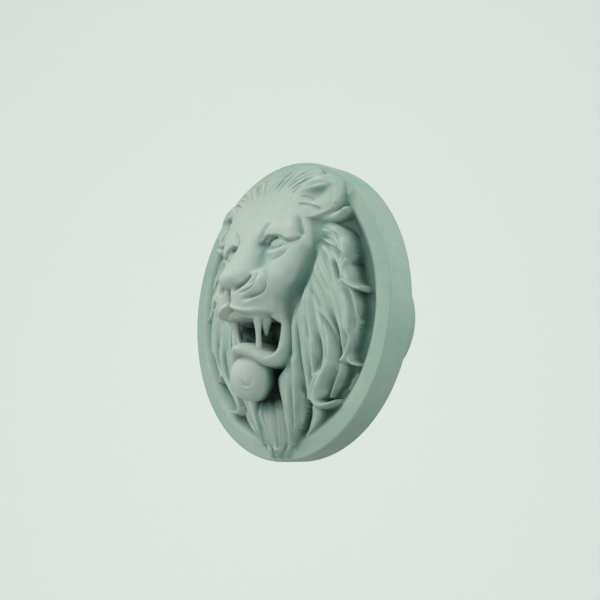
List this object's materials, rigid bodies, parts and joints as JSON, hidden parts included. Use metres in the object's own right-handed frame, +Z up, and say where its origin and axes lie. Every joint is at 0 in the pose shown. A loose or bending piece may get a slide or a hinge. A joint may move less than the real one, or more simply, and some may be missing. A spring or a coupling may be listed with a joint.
{
  "type": "lion relief knob",
  "caption": "Round furniture knob cast in one piece: a thick disc with a roaring lion's head in high relief on its front and a short turned stem and flat foot behind.",
  "frame": {"origin": "middle of the foot's flat face, where the knob meets the drawer or door", "axes": "+Y out of the foot's face, towards what it is fixed to; the lion faces -Y; +Z up through the lion's crown; X across the face"},
  "size_m": [0.045, 0.0303, 0.045],
  "materials": {
    "sage_paint": "matt sage green paint, darker in the deep hollows"
  },
  "bodies": {
    "root": {"lion_knob": "sage_paint"}
  },
  "joints": []
}
